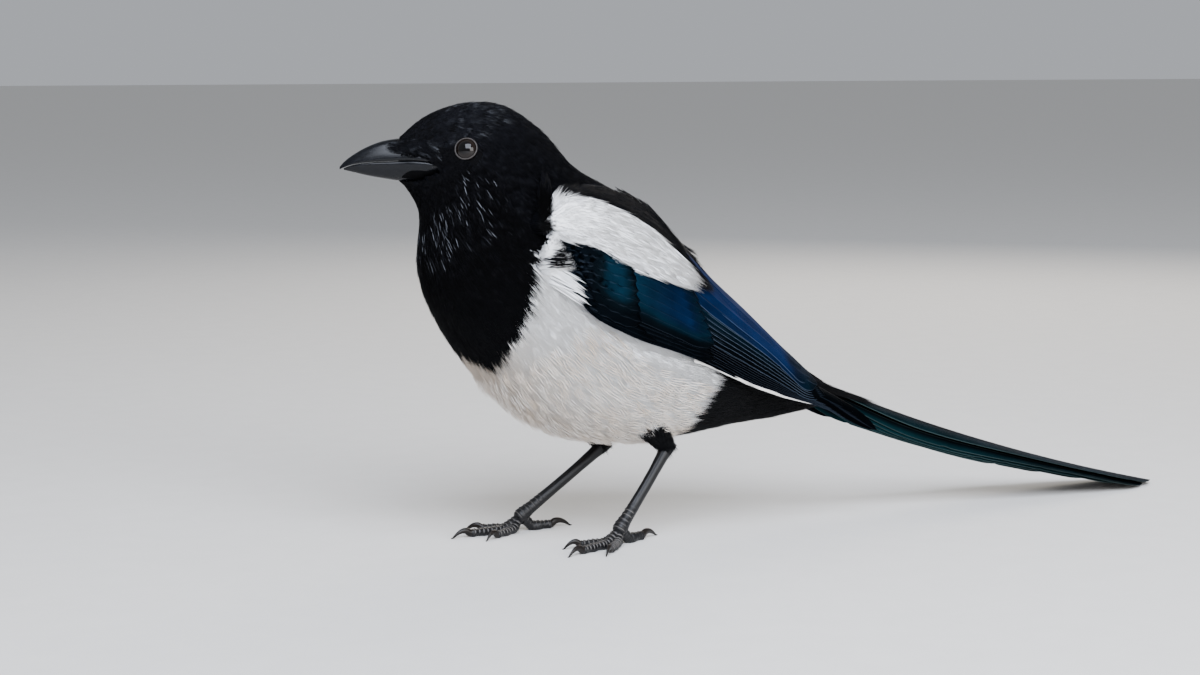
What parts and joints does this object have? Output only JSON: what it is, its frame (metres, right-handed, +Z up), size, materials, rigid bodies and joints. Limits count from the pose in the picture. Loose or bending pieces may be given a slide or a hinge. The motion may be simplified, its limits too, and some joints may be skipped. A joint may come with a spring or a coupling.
{
  "type": "eurasian magpie",
  "caption": "Life-size still model of a standing Eurasian magpie with its head turned, folded wings and a long graduated tail laid to the floor.",
  "frame": {"origin": "middle of the bounding box on the floor plane under the feet", "axes": "the bird faces -X with its left side at -Y and +Z up; its head is turned 15 degrees to its right; the tail runs back along +X"},
  "size_m": [0.4192, 0.0996, 0.1954],
  "materials": {
    "black": "black feathers with a faint blue gloss",
    "white": "soft white feathers",
    "blue": "smooth dark blue feathers with a metallic gloss",
    "tail": "smooth black feathers with a green gloss",
    "horn": "smooth black horn",
    "leg": "scaly black skin",
    "lid": "bare dark grey skin",
    "eye": "wet dark brown eye"
  },
  "bodies": {
    "root": {"back": "black", "belly": "white", "breast": "black", "head": "black", "left_eye": "eye", "left_eyelid": "lid", "left_foot": "leg", "left_hind_claw": "horn", "left_inner_claw": "horn", "left_middle_claw": "horn", "left_outer_claw": "horn", "left_scapulars": "white", "left_tarsus": "leg", "left_thigh": "black", "left_wing": "blue", "lower_bill": "horn", "neck": "black", "right_eye": "eye", "right_eyelid": "lid", "right_foot": "leg", "right_hind_claw": "horn", "right_inner_claw": "horn", "right_middle_claw": "horn", "right_outer_claw": "horn", "right_scapulars": "white", "right_tarsus": "leg", "right_thigh": "black", "right_wing": "blue", "rump": "black", "tail": "tail", "upper_bill": "horn"}
  },
  "joints": []
}
